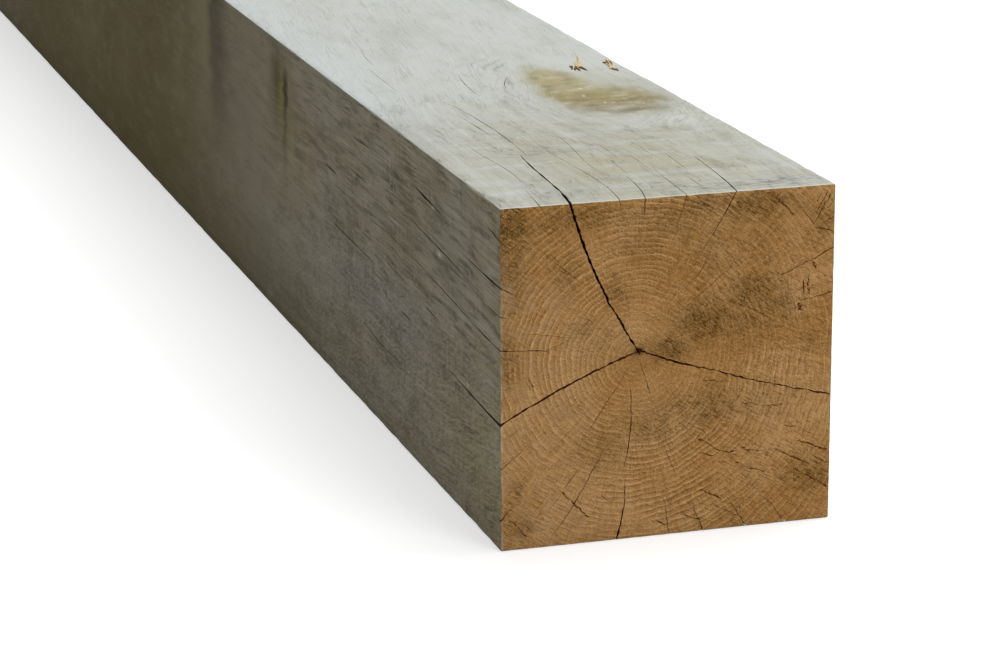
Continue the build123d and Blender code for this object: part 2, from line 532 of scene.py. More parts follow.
def srgb(red, green, blue):
    """A colour as a screen gives it, from 0 to 255, as shares of the light that falls on it."""
    shares = np.array([red, green, blue]) / 255
    light = np.where(shares < 0.04045, shares / 12.92, ((shares + 0.055) / 1.055) ** 2.4)
    return (*light.tolist(), 1.0)


class Field:
    """A value that varies over a surface: a node's output, on which arithmetic adds Math nodes."""

    def __init__(self, shading, socket):
        self.shading = shading
        self.socket = socket

    def __add__(self, other):
        return self.shading.maths("ADD", self, other)

    def __radd__(self, other):
        return self.shading.maths("ADD", other, self)

    def __sub__(self, other):
        return self.shading.maths("SUBTRACT", self, other)

    def __rsub__(self, other):
        return self.shading.maths("SUBTRACT", other, self)

    def __mul__(self, other):
        return self.shading.maths("MULTIPLY", self, other)

    def __rmul__(self, other):
        return self.shading.maths("MULTIPLY", other, self)

    def __truediv__(self, other):
        return self.shading.maths("DIVIDE", self, other)

    def __rtruediv__(self, other):
        return self.shading.maths("DIVIDE", other, self)

    def __pow__(self, other):
        return self.shading.maths("POWER", self, other)

    def __rpow__(self, other):
        return self.shading.maths("POWER", other, self)

    def rise(self, low, high):
        """From 0 where the value is low to 1 where it is high, smoothly."""
        return self.shading.node("ShaderNodeMapRange", {"interpolation_type": "SMOOTHSTEP"},
                                 {"Value": self, "From Min": low, "From Max": high})


class Shading:
    """A tree of shader nodes, written as expressions."""

    def __init__(self, tree):
        self.tree = tree
        tree.nodes.clear()

    def node(self, kind, settings=None, sockets=None, result=None):
        """Adds a node, sets it and then its sockets' values or links, and gives one of its outputs."""
        made = self.tree.nodes.new(kind)
        for name, value in (settings or {}).items():
            setattr(made, name, value)
        inputs = {socket.identifier: socket for socket in made.inputs}
        for name, value in (sockets or {}).items():
            if isinstance(value, Field):
                self.tree.links.new(value.socket, inputs[name])
            else:
                inputs[name].default_value = value
        for socket in made.outputs:
            if socket.enabled and result in (None, socket.identifier):
                return Field(self, socket)

    def maths(self, operation, *values):
        sockets = dict(zip(("Value", "Value_001"), values))
        return self.node("ShaderNodeMath", {"operation": operation}, sockets)

    def most(self, values):
        greatest = values[0]
        for value in values[1:]:
            greatest = self.maths("MAXIMUM", greatest, value)
        return greatest


WOOD_GLOSS = 0.12


class Finish(Shading):
    """The finish of one face, worked out from places in the beam, with colours laid over each other."""

    def __init__(self, name, colour):
        material = bpy.data.materials[name]
        material.use_nodes = True
        super().__init__(material.node_tree)
        self.colour = colour
        self.place = self.node(
            "ShaderNodeVectorMath", {"operation": "MULTIPLY_ADD"},
            {"Vector": self.node("ShaderNodeTexCoord", result="Object"),
             "Vector_001": (1 / MM,) * 3, "Vector_002": tuple(-BEAM_START)})
        self.x, self.y, self.z = (
            self.node("ShaderNodeSeparateXYZ", sockets={"Vector": self.place}, result=axis) for axis in "XYZ")

    def at(self, x, y, z):
        return self.node("ShaderNodeCombineXYZ", sockets={"X": x, "Y": y, "Z": z})

    def noise(self, sizes, detail=2.0, place=None):
        """Noise from 0 to 1, about 0.5, with grains of those sizes along x, y and z."""
        grains = self.node("ShaderNodeVectorMath", {"operation": "DIVIDE"},
                           {"Vector": place or self.place, "Vector_001": sizes})
        return self.node("ShaderNodeTexNoise", sockets={"Vector": grains, "Scale": 1.0, "Detail": detail})

    def spot(self, *values, **axes):
        """1 in the middle of a soft spot and 0 outside; each value or axis has its middle and half size."""
        values += tuple((getattr(self, axis), *sizes) for axis, sizes in axes.items())
        squares = [((value - middle) / half_size) ** 2 for value, middle, half_size in values]
        return math.exp(-1) ** sum(squares[1:], squares[0])

    def blend(self, share, under, over):
        return self.node("ShaderNodeMix", {"data_type": "RGBA"},
                         {"Factor_Float": share, "A_Color": under, "B_Color": over})

    def lay(self, share, colour):
        """Lays a colour over those laid so far, by its share from 0 to 1."""
        self.colour = self.blend(share, self.colour, colour)

    def show(self, roughness, height):
        """Gives the material its colour and a roughness, and a relief whose height is in millimetres."""
        bumps = self.node("ShaderNodeBump", sockets={"Height": height, "Distance": MM, "Strength": 1.0})
        surface = self.node("ShaderNodeBsdfPrincipled", sockets={
            "Base Color": self.colour, "Roughness": roughness, "Specular IOR Level": WOOD_GLOSS,
            "Normal": bumps})
        self.node("ShaderNodeOutputMaterial", sockets={"Surface": surface})


class EndGrain:
    """What shows on wood cut across the grain: masks from 0 to 1, and noise about 0.5."""

    def __init__(self, finish):
        right = finish.x - RING_CENTRE[0]
        up = finish.z - RING_CENTRE[1]
        self.radius = (right * right + up * up) ** 0.5

        def fan(pieces, deep, detail=2.0):
            """Noise whose grains are shares of the way round, and some depth along the rays."""
            place = finish.at(pieces * right / self.radius, pieces * up / self.radius, deep)
            return finish.noise((1, 1, 1), detail, place)

        def blotches(size, detail=2.0):
            """Noise that hardly changes along the beam."""
            return finish.noise((size, 400, size), detail)

        wander = 9 * (blotches(36) - 0.5) + 2.0 * (blotches(8) - 0.5) + 0.7 * (blotches(2.2, 1) - 0.5)
        spells = finish.noise((1, 1, 1), 1, finish.at(self.radius / 10, 0, 0))
        growth = self.radius + wander + 5 * (spells - 0.5)
        year = finish.maths("FRACT", growth / RING_SPACING)
        year_number = finish.maths("FLOOR", growth / RING_SPACING)
        good_year = finish.noise((1, 1, 1), 1, finish.at(0.73 * year_number, 4, 0)).rise(0.3, 0.6)

        self.grit = blotches(1.0)
        self.rays = fan(55, self.radius / 5)
        unbroken = fan(9, growth / 3).rise(0.26, 0.52)
        self.early_wood = finish.spot((year, 0.44, 0.15)) * unbroken * (0.5 + 0.5 * good_year)
        self.late_wood = finish.spot((year, 0.74, 0.13)) * self.grit.rise(0.3, 0.55)
        self.rings_show = blotches(24, 3).rise(0.25, 0.55)
        self.dashes = fan(16, growth / 1.2, 3).rise(0.5, 0.66)
        self.long_rays = fan(40, self.radius / 60)
        along_saw = math.cos(SAW_TILT) * finish.x + math.sin(SAW_TILT) * finish.z
        across_saw = math.cos(SAW_TILT) * finish.z - math.sin(SAW_TILT) * finish.x
        teeth = finish.at(along_saw, across_saw, 0)
        self.strokes = finish.noise((7, 0.9, 1), 3, teeth).rise(0.52, 0.66)
        self.long_strokes = finish.noise((60, 2.4, 1), 2, teeth)
        self.mottle = blotches(10, 4)
        self.cloud = blotches(45, 3)
        self.height = (0.06 * self.early_wood - 0.12 * self.dashes - 0.2 * self.strokes
                       + 0.3 * self.grit + 0.1 * self.long_strokes)


END_TAN = srgb(177, 136, 86)
END_BROWN = srgb(158, 114, 60)
END_PALE = srgb(212, 172, 118)
END_DARK = srgb(88, 50, 8)
END_STAIN = srgb(80, 56, 4)
END_HAZE = srgb(178, 146, 108)
END_ARRIS_HIGHLIGHT = srgb(196, 186, 166)
END_PITH = srgb(36, 16, 4)

# Where damp stained the end: across, up, half width, half height and strength
END_STAINS = (
    (1, 112, 13, 9, 1.7), (22, 127, 20, 13, 1.8), (50, 140, 20, 13, 1.4), (66, 132, 12, 10, 1.2),
    (38, 124, 33, 14, 1.0), (20, 194, 18, 8, 1.3), (48, 191, 28, 10, 1.5), (8, 180, 12, 8, 1.0),
    (-97, 190, 16, 22, 2.2), (-99, 160, 14, 26, 2.0), (-99, 112, 10, 18, 1.6), (-90, 14, 10, 9, 1.3),
    (-91, 36, 7, 10, 0.9), (88, 29, 15, 11, 1.4), (22, 74, 34, 11, 1.15), (-10, 66, 26, 10, 1.0),
    (-58, 80, 13, 8, 0.45), (-38, 56, 22, 12, 0.8), (-31, 146, 9, 9, 1.0), (-62, 160, 12, 12, 0.9),
    (-17, 173, 18, 14, 0.7), (-53, 127, 10, 8, 0.8), (92, 178, 10, 14, 0.9), (66, 192, 14, 7, 1.1),
    (-70, 187, 14, 10, 0.9), (-30, 190, 18, 9, 0.7), (84, 110, 14, 10, 0.5), (0, 188, 36, 12, 0.9),
    (30, 172, 48, 30, 0.6), (-52, 192, 30, 9, 1.2), (-38, 116, 16, 14, 0.5), (-90, 64, 12, 10, 0.4),
)

end = Finish("sawn_end", END_TAN)
grain = EndGrain(end)
tanned = end.most([
    0.12 * end.spot(x=(-60, 60), z=(55, 70)),
    0.09 * end.spot(x=(72, 40), z=(70, 65)),
])
end.lay((grain.cloud - tanned).rise(0.3, 0.6), END_BROWN)
end.lay(0.5 * grain.mottle.rise(0.48, 0.7), END_BROWN)
ringed = end.most([
    end.spot(x=(-62, 60), z=(120, 85)),
    0.8 * end.spot(x=(-5, 55), z=(180, 65)),
    1.2 * end.spot(x=(8, 58), z=(202, 26)),
    end.spot(x=(0, 65), z=(30, 75)),
    0.75 * end.spot(x=(62, 34), z=(92, 30)),
    0.4,
])
off_pith = 0.7 * grain.radius.rise(3, 10) + 0.3 * grain.radius.rise(20, 50)
rings_show = grain.rings_show * ringed * off_pith
end.lay(0.8 * grain.early_wood * rings_show, END_PALE)
end.lay(0.6 * grain.late_wood * rings_show, END_DARK)
end.lay(0.1 * grain.long_rays.rise(0.55, 0.7), END_PALE)
end.lay(0.2 * grain.long_rays.rise(0.45, 0.3), END_DARK)
end_stain = end.most([
    strength * end.spot(x=(across, wide), z=(up, high))
    for across, up, wide, high, strength in END_STAINS])
stain_takes = (
    0.2 + 0.2 * grain.mottle.rise(0.3, 0.62) + 0.22 * grain.dashes + 0.46 * grain.strokes)
end.lay(end_stain * stain_takes, END_STAIN)
dashed = end.most([
    end.spot(x=(40, 55), z=(135, 45)),
    end.spot(x=(60, 50), z=(90, 60)),
    0.4,
])
end.lay(0.45 * dashed * grain.dashes, END_DARK)
sawn = end.most([
    end.spot(x=(62, 58), z=(30, 45)),
    end.spot(x=(75, 45), z=(130, 45)),
    end.spot(x=(-80, 30), z=(15, 35)),
    0.25,
])
end.lay(0.58 * sawn * grain.strokes, END_DARK)
end.lay(0.35 * grain.grit.rise(0.5, 0.7), END_DARK)
end.lay(0.35 * grain.grit.rise(0.47, 0.28), END_PALE)
end.lay(0.14 * grain.rays.rise(0.5, 0.7), END_PALE)
end.lay(0.14 * grain.rays.rise(0.46, 0.3), END_DARK)
end_haze = end.most([
    end.spot(x=(-97, 6), z=(152, 16)),
    0.6 * end.spot(x=(-98, 5), z=(60, 45)),
    0.5 * end.spot(x=(-75, 26), z=(84, 16)),
    0.5 * end.spot(x=(-80, 24), z=(134, 22)),
    0.6 * end.spot(x=(-72, 26), z=(16, 18)),
    0.4 * end.spot(x=(-84, 30), z=(90, 75)),
])
end.lay(0.6 * end_haze * grain.mottle.rise(0.35, 0.6), END_HAZE)
pith_dark = end.spot(x=(PITH[0], 3.2), z=(PITH[2], 2.6))
end.lay(0.95 * pith_dark, END_PITH)
# Painted highlight: a pale line down the lower part of the end's left edge, on the rounded arris.
left_arris_highlight = end.x.rise(-97.5, -99.6) * end.z.rise(175, 120)
end.lay(0.5 * left_arris_highlight * grain.mottle.rise(0.35, 0.6), END_ARRIS_HIGHLIGHT)
end.show(roughness=0.85, height=grain.height)

TORN_BROWN = srgb(122, 70, 20)
TORN_DARK = srgb(72, 38, 6)

torn = Finish("torn_grain", TORN_BROWN)
torn_fibre = torn.noise((1.0, 400, 1.0), 2)
torn.lay(torn_fibre.rise(0.35, 0.65), TORN_DARK)
torn.show(roughness=0.9, height=0.3 * torn_fibre)

# The far end
# The other end of the beam, cut square by the same saw. It is end grain round the same pith, and the weather
# has browned it evenly.

FAR_END_TAN = srgb(150, 126, 94)
FAR_END_BROWN = srgb(128, 103, 72)

far_end = Finish("far_end", FAR_END_TAN)
far_grain = EndGrain(far_end)
far_end.lay(far_grain.cloud.rise(0.35, 0.65), FAR_END_BROWN)
far_rings_show = far_grain.rings_show * far_grain.radius.rise(8, 32)
far_end.lay(0.4 * far_grain.early_wood * far_rings_show, END_PALE)
far_end.lay(0.4 * far_grain.late_wood * far_rings_show, END_DARK)
far_end.lay(0.25 * far_grain.dashes, END_DARK)
far_end.lay(0.2 * far_grain.strokes, END_DARK)
far_end.lay(0.35 * far_grain.grit.rise(0.52, 0.72), END_DARK)
far_end.show(roughness=0.85, height=far_grain.height)

# The walls of the checks
# Wood that split open inside, out of the weather. It is still red just behind the sawn end; further in it is
# painted dark brown, as painted shade inside the splits.

WALL_RED = srgb(150, 66, 20)
WALL_BROWN_SHADE = srgb(70, 52, 36)
WALL_DARK_SHADE = srgb(40, 34, 24)

walls = Finish("check_walls", WALL_RED)
wall_fibre = walls.noise((1.0, 40, 1.0), 3)
# Painted shade: the walls turn dark brown a few millimetres behind the sawn end, and darker along the fibres.
walls.lay(walls.y.rise(1, 9), WALL_BROWN_SHADE)
walls.lay(wall_fibre.rise(0.35, 0.65), WALL_DARK_SHADE)
walls.show(roughness=0.9, height=0.3 * wall_fibre)

# The top face
# Sawn along the grain and silvered by sun and rain. Raised fibres run along it and part round one large knot,
# which rain has stained olive, and the saw left faint lines across it near the end.

TOP_SILVER = srgb(174, 174, 163)
TOP_LIGHT = srgb(184, 187, 182)
TOP_BLUE = srgb(186, 191, 190)
TOP_WHITE = srgb(208, 211, 205)
TOP_GREY = srgb(138, 138, 128)
TOP_DARK = srgb(88, 88, 80)
TOP_TAN = srgb(163, 159, 136)
KNOT_OLIVE = srgb(136, 124, 80)
KNOT_TAIL = srgb(153, 145, 110)
KNOT_DARK = srgb(98, 90, 66)
KNOT_FOOT_SHADE = srgb(146, 142, 127)
KNOT_PALE = srgb(180, 174, 152)
KNOT_WHITE = srgb(222, 214, 190)


class LongGrain:
    """What shows on wood sawn along the grain: noise along or across it, and masks of flecks and cracks."""

    def __init__(self, finish, flow):
        self.fibre = finish.noise((1.1, 45, 1.1), 3, flow)
        self.streak = finish.noise((6, 150, 6), 4, flow)
        self.mottle = finish.noise((12, 34, 12), 5, flow)
        self.cloud = finish.noise((45, 120, 45), 3)
        self.fleck = finish.noise((1.3, 8, 1.3), 2, flow).rise(0.58, 0.7)
        self.pale_fleck = finish.noise((1.5, 5, 1.5), 2, flow).rise(0.63, 0.73)
        cracked = finish.noise((14, 40, 14), 3).rise(0.5, 0.6)
        self.cracks = finish.spot((finish.noise((7, 120, 7), 3, flow), 0.5, 0.014)) * cracked
        self.saw_marks = finish.noise((26, 3.5, 26), 4)
        self.height = (0.3 * self.fibre + 0.4 * self.streak + 0.1 * self.saw_marks
                       - 0.2 * self.fleck - 0.25 * self.cracks)


top = Finish("top_face", TOP_SILVER)
knot_pull = top.spot(x=(TOP_KNOT[0], 55), y=(TOP_KNOT[1], 100))
sway = 12 * (top.noise((110, 170, 110)) - 0.5) - 0.1 * (top.y - 200) * top.y.rise(150, 350)
top_flow = top.at(top.x + sway - 0.8 * (top.x - TOP_KNOT[0]) * knot_pull, top.y, top.z)
top_grain = LongGrain(top, top_flow)
# Where the weather raised the grain: by the sawn end, and again towards the far end
top_raised = top.most([top.y.rise(480, 120), 0.8 * top.y.rise(1200, 1800), 0.1])
top.lay(top.y.rise(100, 420), TOP_LIGHT)
top.lay(0.8 * top.x.rise(-50, -100) * top.y.rise(120, 300), TOP_BLUE)
tan_share = (top_grain.mottle + 0.8 * top_grain.cloud).rise(0.75, 1.05)
tan_share = tan_share * (0.1 + 0.9 * top.y.rise(240, 90)) * top.y.rise(20, 60)
top.lay(0.7 * tan_share * top.x.rise(-85, -30), TOP_TAN)
top.lay(0.75 * top.spot(x=(0, 42), y=(85, 55)), TOP_TAN)
bands = top.noise((60, 15, 60), 4)
tan_bands = bands.rise(0.52, 0.68) * top.y.rise(260, 110) * top.x.rise(-95, -35)
top.lay(0.55 * tan_bands, TOP_TAN)
top.lay(0.4 * top_raised * bands.rise(0.48, 0.32), TOP_BLUE)
top.lay((0.12 + 0.36 * top_raised) * top_grain.mottle.rise(0.5, 0.72), TOP_GREY)
top.lay((0.07 + 0.18 * top_raised) * top_grain.streak.rise(0.5, 0.75), TOP_GREY)
top.lay(0.18 * top_grain.cloud.rise(0.5, 0.7), TOP_GREY)
top.lay(0.22 * top_raised * top_grain.saw_marks.rise(0.5, 0.7), TOP_GREY)
top.lay((0.1 + 0.12 * top_raised) * top_grain.streak.rise(0.48, 0.25), TOP_WHITE)
top.lay(0.22 * top_raised * top_grain.fibre.rise(0.5, 0.72), TOP_GREY)
dark_flecks = top_grain.fleck * top_grain.mottle.rise(0.45, 0.6)
top.lay(0.42 * top_raised * top_raised * dark_flecks, TOP_DARK)
top.lay((0.03 + 0.15 * top_raised) * top_grain.cracks, TOP_DARK)
top.lay((0.12 + 0.2 * top_raised) * top_grain.pale_fleck, TOP_WHITE)
slanting = top.noise((4, 16, 4), 3, top.at(top.x - 0.6 * top.y, top.y, top.z))
scraped = top.spot(x=(74, 26), y=(195, 26))
top.lay(0.36 * scraped * slanting.rise(0.4, 0.62), TOP_WHITE)
bleached = top.spot(x=(90, 18), y=(75, 50))
top.lay(0.4 * bleached, TOP_LIGHT)
cross_tear = top.noise((9, 2.2, 9), 4)
torn_end = top.most([
    1.1 * top.spot(x=(72, 22), y=(17, 12)),
    0.7 * top.spot(x=(35, 45), y=(16, 14)),
    0.7 * top.spot(x=(-8, 24), y=(34, 4)),
    0.45 * top.spot(x=(-75, 28), y=(50, 1.5)),
    0.5 * top.spot(x=(-40, 36), y=(128, 9)),
    0.4 * top.spot(x=(55, 35), y=(168, 8)),
])
top.lay(0.75 * torn_end * cross_tear.rise(0.4, 0.66), TOP_DARK)
knot_edge = top.noise((12, 24, 12), 5, top_flow)
round_knot = ((((top.x - 46) / 36) ** 2 + ((top.y - 290) / 90) ** 2) ** 0.5) + 0.5 * (knot_edge - 0.5)
knot_lines = top.spot((top.maths("FRACT", 5 * round_knot), 0.5, 0.14))
knot_lines = knot_lines * top_grain.mottle.rise(0.4, 0.55) * top.y.rise(235, 290)
knot_lines = knot_lines * round_knot.rise(0.95, 1.1) * round_knot.rise(2.0, 1.3)
top.lay(0.35 * knot_lines * top.x.rise(50, 15), TOP_DARK)
top.lay(0.5 * top.spot(x=(54, 34), y=(322, 42)), TOP_TAN)
knot_tail = top.spot(x=(39, 21), y=(322, 62))
knot_round = top.spot(x=(54, 40), y=(263, 54))
knot_bend = top.spot(x=(33, 18), y=(285, 44))
knot_share = (top.most([knot_round, knot_tail, knot_bend]) + 0.5 * (knot_edge - 0.5)).rise(0.2, 0.75)
knot_curls = top.noise((6, 14, 6), 5, top_flow)
knot_colour = top.blend(top.y.rise(262, 320), KNOT_OLIVE, KNOT_TAIL)
# Painted shade: a grey zone on the knot's side towards the sawn end, where its curls also show more.
knot_foot_shade = (top.y + 70 * (knot_curls - 0.5)).rise(285, 225)
knot_colour = top.blend(0.8 * knot_foot_shade, knot_colour, KNOT_FOOT_SHADE)
knot_colour = top.blend((0.42 + 0.3 * knot_foot_shade) * knot_curls.rise(0.48, 0.66), knot_colour, KNOT_DARK)
knot_colour = top.blend((0.42 + 0.2 * knot_foot_shade) * knot_curls.rise(0.46, 0.32), knot_colour, KNOT_PALE)
knot_flecks = top.noise((5, 11, 5), 2).rise(0.64, 0.78) * top.y.rise(330, 290)
knot_colour = top.blend(0.7 * knot_flecks, knot_colour, KNOT_WHITE)
top.lay(0.95 * knot_share, knot_colour)
# Painted highlight: a pale line along the top's front edge, on the rounded arris by the sawn end.
top.lay(0.6 * top.y.rise(2.4, 0.5), TOP_WHITE)
top.show(roughness=0.8, height=top_grain.height + 0.3 * torn_end * cross_tear)

# The torn splinters
# Two places on the top where a saw tooth lifted the grain. Slivers of fresh wood lie in one shallow hollow,
# still held at their roots. A few short dark stubs round their roots are painted shade under the lifted
# slivers.

SLIVER_STATIONS = 9
SLIVER_THICKNESS = 0.35
SLIVER_TIP_HEIGHT = 0.6  # above the floor of the hollow
SLIVER_ROOT_RISE = 0.4  # how much higher its root is
SLIVER_ROOT_DEPTH = 0.9  # how much thicker its root is


class Sliver(NamedTuple):
    """A strip of wood, thick at its root and thin at its tip, told by places across and along the top."""

    root: tuple
    tip: tuple
    width: float
    lift: float  # of its middle above the hollow
    sag: float = 0.0  # how far it bends sideways


PALE_SLIVERS = (
    Sliver((70, 374), (82, 421), 1.8, 0.4, 1.5),
    Sliver((68.5, 372), (76, 398), 1.4, 0.35, -1.0),
    Sliver((88, 361), (97, 402), 1.5, 0.35, 1.0),
    Sliver((90.5, 366), (93, 392), 1.2, 0.3, -0.8),
)
# Painted shade: dark strips by the slivers' roots, lying towards the sawn end.
SHADE_STUBS = (
    Sliver((70, 378), (64, 364), 2.6, 0.4, 0.8),
    Sliver((66, 380), (62, 366), 2.4, 0.3, -0.5),
    Sliver((71, 376), (72, 362), 2.2, 0.35, 0.5),
    Sliver((68, 374), (66.5, 360), 2.0, 0.3, 0.0),
    Sliver((92, 386), (93.5, 375), 2.8, 0.4, 0.6),
    Sliver((95, 390), (94.5, 377), 2.0, 0.3, -0.4),
    Sliver((89, 364), (91.5, 353), 2.6, 0.4, 0.5),
    Sliver((91.5, 362), (90, 352), 2.0, 0.3, 0.0),
)
SPLINTER_FLOOR = HEIGHT - 1.7  # just under the skin of the hollow


def sliver_block(sliver):
    """A closed strip, two points wide and two thick at each station along it."""
    share = np.linspace(0, 1, SLIVER_STATIONS)
    root = np.array([*sliver.root, SPLINTER_FLOOR])
    tip = np.array([*sliver.tip, SPLINTER_FLOOR])
    ahead = unit(tip - root)
    sideways = np.cross(ahead, (0, 0, 1))
    bend = sliver.sag * 4 * share * (1 - share)
    middle = root + (tip - root) * share[:, None] + sideways * bend[:, None]
    taper = (1 - share) ** 0.7 * 0.95 + 0.05
    half_width = sliver.width / 2 * taper * (1 + 0.5 * swell(middle, 3, 5, 3))
    top_height = SLIVER_TIP_HEIGHT + sliver.lift * np.sin(math.pi * share) + SLIVER_ROOT_RISE * taper
    low_height = top_height - SLIVER_THICKNESS - SLIVER_ROOT_DEPTH * (1 - share) ** 4
    corners = [[middle + sideways * (side * half_width)[:, None] + np.array([0, 0, 1]) * height[:, None]
                for height in (low_height, top_height)] for side in (-1, 1)]
    block = np.swapaxes(np.array(corners), 1, 2)
    return block.reshape(-1, 3), np.concatenate(block_sides(block.shape[:3])[1])


def joined(slivers):
    """The points and faces of many slivers as one."""
    points = []
    faces = []
    for sliver in slivers:
        sliver_points, sliver_faces = sliver_block(sliver)
        faces.append(sliver_faces + sum(map(len, points)))
        points.append(sliver_points)
    return np.concatenate(points), np.concatenate(faces)


FRESH_WOOD = srgb(212, 190, 144)
FRESH_SHADE = srgb(186, 152, 96)
STUB_SHADE_BROWN = srgb(112, 86, 38)
STUB_SHADE_DARK = srgb(64, 45, 12)

for pieces_name, slivers, light, shade in (
    ("pale_slivers", PALE_SLIVERS, FRESH_WOOD, FRESH_SHADE),
    ("dark_stubs", SHADE_STUBS, STUB_SHADE_BROWN, STUB_SHADE_DARK),
):
    bpy.data.materials.new(pieces_name)
    strips = Finish(pieces_name, light)
    strip_fibre = strips.noise((0.8, 12, 0.8), 2)
    strips.lay(strip_fibre.rise(0.4, 0.65), shade)
    strips.show(roughness=0.8, height=0.2 * strip_fibre)
    strips_mesh = mesh_from(pieces_name, *joined(slivers))
    strips_mesh.materials.append(bpy.data.materials[pieces_name])
    strips_object = put_in_scene(pieces_name, strips_mesh)
    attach(strips_object, "root")

# The sides
# Sawn along the grain like the top, but upright, so they stay darker and browner than the silvered top; part
# of that darkness is painted shade on the sides. They also turn darker and browner along the middle of the
# length, partly as painted shade. The left one has a small knot with a bark pocket, and a mark where a batten
# lay across it.

SIDE_GREY_AND_SHADE = srgb(138, 133, 116)
SIDE_LIGHT = srgb(168, 162, 144)
SIDE_BROWN = srgb(128, 120, 94)
SIDE_PURPLE = srgb(125, 120, 113)
SIDE_YELLOW = srgb(144, 131, 102)
SIDE_DARK = srgb(72, 65, 47)
SIDE_BLACK = srgb(46, 42, 30)
SIDE_FAR_BROWN_AND_SHADE = srgb(90, 79, 47)
SIDE_GREEN = srgb(74, 67, 30)
SIDE_TORN = srgb(120, 104, 74)
SIDE_CHIP = srgb(196, 190, 172)
KNOT_YELLOW = srgb(128, 120, 46)
KNOT_BARK = srgb(52, 40, 2)


def plain(side, grain):
    """Neither tints nor marks."""


def weathered_side(name, tints=plain, marks=plain):
    """Grey-brown sawn wood, with tints under its grain and marks over it.

    It is darker and browner along its middle, partly its own tone and partly painted shade.
    """
    # The base grey is darker than the top's colour, partly as painted shade on the sides.
    side = Finish(name, SIDE_GREY_AND_SHADE)
    sway = 10 * (side.noise((90, 150, 90)) - 0.5)
    lean = 0.13 * side.z.rise(130, 40) - 0.03
    leaning_length = side.maths("MINIMUM", side.y, 150.0)
    flow = side.at(side.x + sway, side.y, side.z + sway + lean * leaning_length)
    grain = LongGrain(side, flow)
    # where the weather raised the grain, as on the top
    raised = side.most([side.y.rise(700, 250), 0.85 * side.y.rise(1450, 2000), 0.1])
    # Painted shade in part: darker and browner along the middle of the length, fading back towards the far
    # end.
    browned_and_shaded = side.y.rise(380, 1000) * (1 - 0.65 * side.y.rise(1500, 2200))
    side.lay(browned_and_shaded, SIDE_FAR_BROWN_AND_SHADE)
    side.lay((0.15 + 0.45 * raised) * grain.cloud.rise(0.4, 0.65), SIDE_BROWN)
    tints(side, grain)
    side.lay((0.12 + 0.28 * raised) * grain.mottle.rise(0.5, 0.72), SIDE_DARK)
    side.lay((0.05 + 0.3 * raised) * grain.mottle.rise(0.48, 0.28), SIDE_LIGHT)
    side.lay(0.2 * grain.streak.rise(0.5, 0.72), SIDE_DARK)
    ribs = side.noise((5, 42, 5), 2, flow)
    ribbed = raised * side.z.rise(70, 110)
    side.lay(0.5 * ribbed * ribs.rise(0.54, 0.66), SIDE_DARK)
    side.lay(0.24 * ribbed * ribs.rise(0.46, 0.34), SIDE_LIGHT)
    side.lay(0.32 * raised * grain.fibre.rise(0.5, 0.7), SIDE_DARK)
    side.lay(0.4 * raised * grain.fibre.rise(0.46, 0.3), SIDE_LIGHT)
    slanting = side.noise((1.6, 7, 1.6), 3, side.at(side.x, side.y, side.z + 0.3 * side.y))
    scuffed = raised * side.z.rise(160, 70)
    side.lay(0.34 * scuffed * slanting.rise(0.46, 0.32), SIDE_DARK)
    side.lay(0.4 * scuffed * slanting.rise(0.53, 0.68), SIDE_LIGHT)
    side.lay(0.15 * raised * grain.saw_marks.rise(0.5, 0.7), SIDE_DARK)
    side.lay(0.12 * raised * grain.saw_marks.rise(0.48, 0.3), SIDE_LIGHT)
    side.lay(0.2 * raised * grain.fleck, SIDE_DARK)
    side.lay((0.15 + 0.35 * raised) * grain.cracks, SIDE_BLACK)
    side.lay((0.1 + 0.4 * raised) * grain.pale_fleck, SIDE_LIGHT)
    marks(side, grain)
    side.show(roughness=0.85, height=grain.height - 0.8 * ribbed * ribs)


def left_tints(side, grain):
    yellowed = side.y.rise(75, 20) * grain.mottle.rise(0.35, 0.6)
    side.lay(0.7 * yellowed, SIDE_YELLOW)
    purple = side.spot(y=(255, 130), z=(82, 24))
    side.lay(0.8 * purple, SIDE_PURPLE)
    damp_foot = side.most([side.z.rise(14, 3), 0.6 * side.z.rise(70, 10)])
    side.lay(0.75 * damp_foot * side.y.rise(230, 520), SIDE_GREEN)
    dry_foot = side.spot(y=(40, 110), z=(35, 55))
    side.lay(0.6 * dry_foot, SIDE_YELLOW)
    round_knot = side.spot(y=(530, 70), z=(140, 50))
    side.lay(0.7 * round_knot, SIDE_BROWN)
    beside_knot = side.spot(y=(532, 20), z=(172, 30))
    side.lay(0.85 * beside_knot, SIDE_GREEN)
    torn_round_knot = side.spot(y=(460, 42), z=(138, 34))
    side.lay(0.7 * torn_round_knot * grain.streak.rise(0.4, 0.55), SIDE_TORN)


